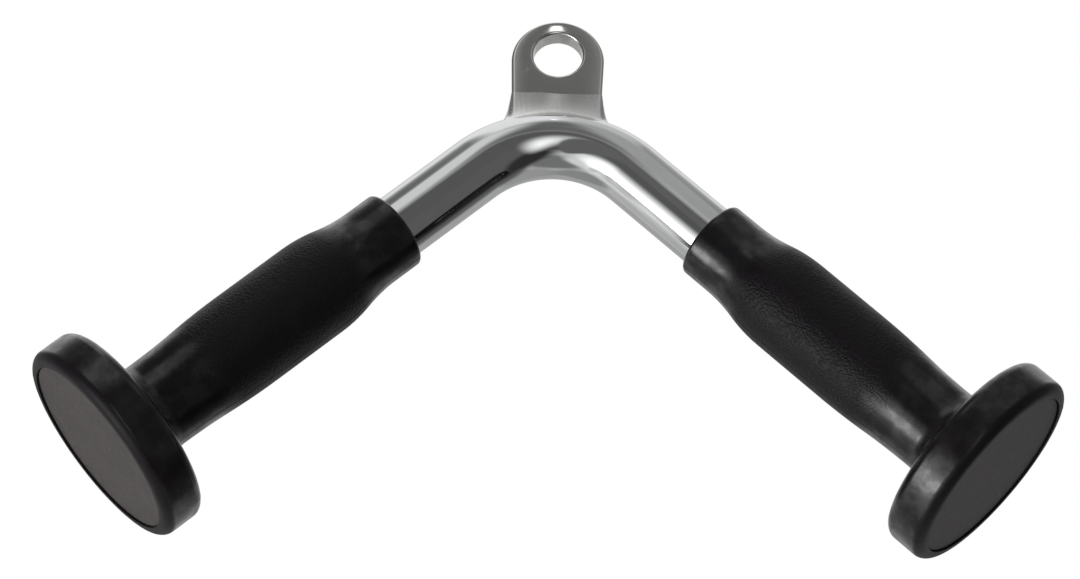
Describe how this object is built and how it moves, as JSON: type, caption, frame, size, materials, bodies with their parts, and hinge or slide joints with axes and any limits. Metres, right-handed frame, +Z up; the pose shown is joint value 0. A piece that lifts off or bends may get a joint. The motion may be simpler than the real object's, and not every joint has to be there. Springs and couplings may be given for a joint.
{
  "type": "triceps bar",
  "caption": "V-shaped pull-down bar for a cable machine: bent chromed bar with a welded eye and flanged rubber grips.",
  "frame": {"origin": "centre of the hole in the welded eye plate", "axes": "+Z up along the hanging cable, +X to the right across the V, +Y along the eye's hole; the V lies in the X-Z plane and opens downwards"},
  "size_m": [0.382, 0.0826, 0.2178],
  "materials": {
    "chrome": "polished chrome plate",
    "grip_rubber": "moulded, fine satin grain",
    "cap_plastic": "flat, lightly sheened by touch",
    "zinc_steel": "bright zinc plate"
  },
  "bodies": {
    "root": {"v_bar": "chrome", "eye_lug": "chrome", "lug_weld": "chrome", "grip_left": "grip_rubber", "grip_washer_left": "zinc_steel", "lock_washer_left": "zinc_steel", "grip_screw_left": "zinc_steel", "end_cap_left": "cap_plastic", "grip_right": "grip_rubber", "grip_washer_right": "zinc_steel", "lock_washer_right": "zinc_steel", "grip_screw_right": "zinc_steel", "end_cap_right": "cap_plastic"}
  },
  "joints": []
}
